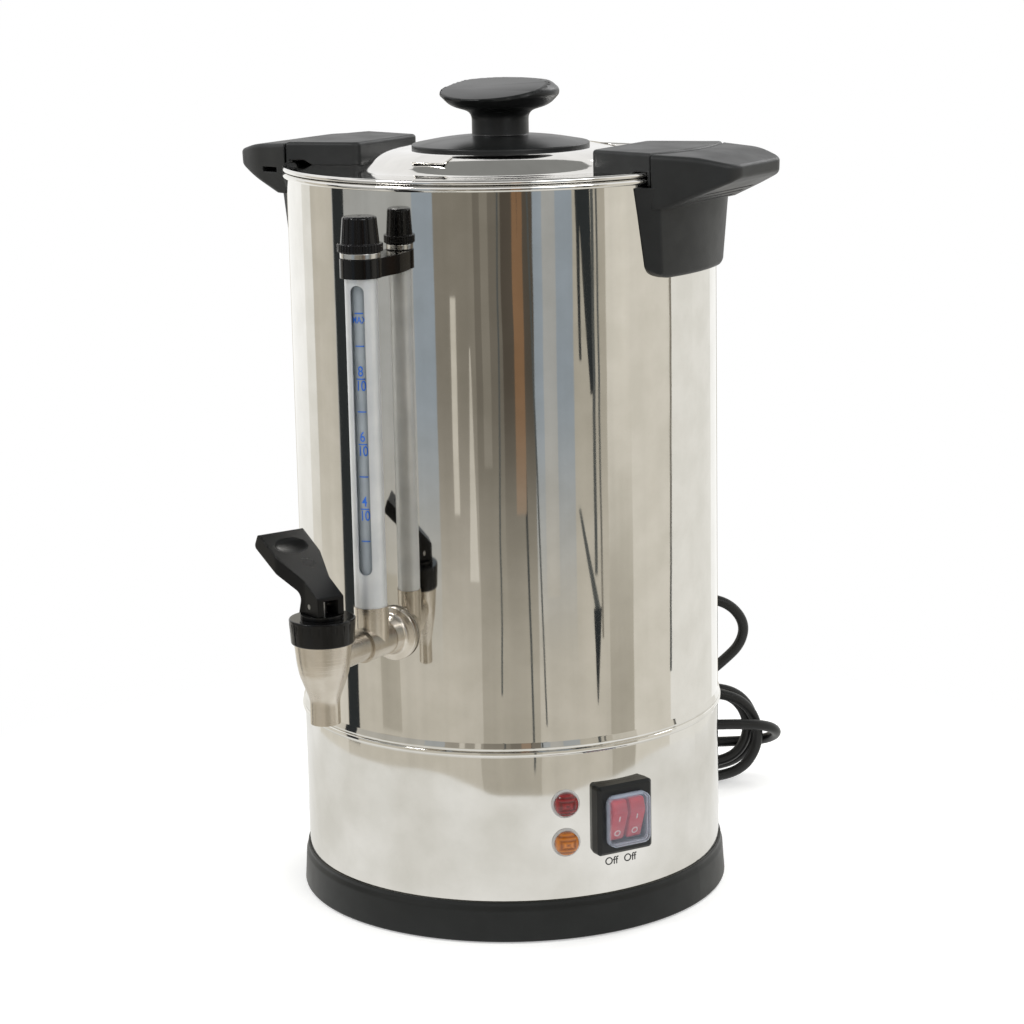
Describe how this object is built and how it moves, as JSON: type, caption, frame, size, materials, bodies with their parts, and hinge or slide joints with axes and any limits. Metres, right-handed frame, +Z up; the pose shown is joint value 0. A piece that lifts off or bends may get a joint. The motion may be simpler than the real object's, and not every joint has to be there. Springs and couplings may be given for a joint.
{
  "type": "hot water urn",
  "caption": "Steel hot water urn with a lidded cylindrical tank, bayonet lid lugs beside side handles, lever tap, level gauge, rocker switches, lamps and a coiled supply cord.",
  "frame": {"origin": "centre of the tank's axis on the surface that the feet stand on", "axes": "+Z up, the tap points to -Y, the handles stand on +X and -X"},
  "size_m": [0.3286, 0.4089, 0.4334],
  "materials": {
    "polished_steel": "mirror-polished stainless steel",
    "plain_steel": "plain stainless steel",
    "screw_steel": "zinc-plated steel",
    "nickel_brass": "brushed nickel plating on brass",
    "satin_aluminium": "satin anodised",
    "charcoal_plastic": "fine-textured satin moulding",
    "black_plastic": "gloss moulding",
    "black_cord": "soft PVC sheath",
    "black_rubber": "matt",
    "white_silicone": "satin",
    "clear_silicone": "clear, glossy",
    "red_plastic": "translucent moulding",
    "red_lens": "translucent moulding",
    "amber_lens": "translucent moulding",
    "clear_glass": "clear tube",
    "white_plastic": "heat-resistant moulding",
    "wire_sheath": "flexible sheath"
  },
  "bodies": {
    "urn": {"tank_shell": "polished_steel", "tank_floor": "plain_steel", "lower_housing": "polished_steel", "base_skirt": "charcoal_plastic", "bottom_cover": "charcoal_plastic", "rubber_feet": "black_rubber", "bottom_screws": "screw_steel", "heat_plate": "satin_aluminium", "boil_element": "plain_steel", "warm_element": "plain_steel", "element_clamp": "screw_steel", "boil_thermostat": "white_plastic", "warm_thermostat": "white_plastic", "dry_boil_cutout": "white_plastic", "terminal_block": "white_plastic", "earth_stud": "screw_steel", "wiring_loom": "wire_sheath", "switch_frame": "black_plastic", "switch_body": "black_plastic", "switch_cover": "clear_silicone", "lamp_lens_boil": "red_lens", "lamp_lens_warm": "amber_lens", "lamp_bodies": "white_plastic", "cord_gland": "black_rubber", "cord_lead": "black_cord", "cord_hank": "black_cord", "cord_tail": "black_cord", "plug_body": "black_cord", "plug_pins": "nickel_brass", "handle_right": "charcoal_plastic", "handle_left": "charcoal_plastic", "handle_screws": "screw_steel", "tap_body": "nickel_brass", "tap_collar": "black_plastic", "tap_flange": "nickel_brass", "tap_seals": "white_silicone", "tap_lock_nut": "nickel_brass", "valve_spring": "plain_steel", "gauge_tee": "nickel_brass", "gauge_guard": "satin_aluminium", "gauge_glass": "clear_glass", "gauge_seals": "white_silicone", "gauge_bracket": "black_plastic", "gauge_ferrule": "nickel_brass"},
    "lid_ring": {"lid_seal": "white_silicone"},
    "lid": {"lid_dish": "polished_steel", "lid_lug_right": "charcoal_plastic", "lid_lug_left": "charcoal_plastic", "lid_screws": "screw_steel", "lid_knob": "charcoal_plastic"},
    "tap_swivel": {"lever_saddle": "black_plastic"},
    "tap_stem": {"valve_stem": "plain_steel", "valve_cup": "white_silicone", "lever_pin": "plain_steel"},
    "tap_lever": {"lever": "charcoal_plastic"},
    "boil_rocker": {"rocker_boil": "red_plastic"},
    "warm_rocker": {"rocker_warm": "red_plastic"},
    "reset": {"reset_button": "red_plastic"},
    "gauge_top": {"gauge_cap": "black_plastic"}
  },
  "joints": [
    {"name": "lid_lift", "type": "slide", "parent": "urn", "child": "lid_ring", "axis": [0, 0, 1], "range_m": [0, 0.15]},
    {"name": "lid_turn", "type": "hinge", "parent": "lid_ring", "child": "lid", "pos_m": [0, 0, 0.389], "axis": [0, 0, 1], "range_deg": [0, 40]},
    {"name": "lever_turn", "type": "hinge", "parent": "urn", "child": "tap_swivel", "pos_m": [0, -0.1755, 0.185], "axis": [0, 0, 1], "range_deg": [-28, 250]},
    {"name": "stem_lift", "type": "slide", "parent": "tap_swivel", "child": "tap_stem", "axis": [0, 0, 1], "range_m": [0, 0.00376], "deforming": ["valve_spring"]},
    {"name": "lever_tilt", "type": "hinge", "parent": "tap_stem", "child": "tap_lever", "pos_m": [0, -0.1755, 0.1902], "axis": [-0.3987, -0.9171, 0], "range_deg": [0, 28], "stiffness_Nm_per_rad": 0.4, "springref_deg": -8.59},
    {"name": "boil_switch", "type": "hinge", "parent": "urn", "child": "boil_rocker", "pos_m": [0.09842, -0.06143, 0.0626], "axis": [-0.4909, -0.8712, 0], "range_deg": [0, 20]},
    {"name": "warm_switch", "type": "hinge", "parent": "urn", "child": "warm_rocker", "pos_m": [0.10353, -0.05237, 0.0626], "axis": [-0.4909, -0.8712, 0], "range_deg": [0, 20]},
    {"name": "reset_press", "type": "slide", "parent": "urn", "child": "reset", "axis": [0, 0, 1], "range_m": [0, 0.0015], "stiffness_N_per_m": 400},
    {"name": "gauge_cap_turn", "type": "hinge", "parent": "urn", "child": "gauge_top", "pos_m": [0, -0.133, 0.36], "axis": [0, 0, 1], "range_deg": [0, 360]}
  ],
  "couplings": [
    {"joint": "lever_tilt", "follows": "stem_lift", "rad_per_m": 129.87}
  ]
}
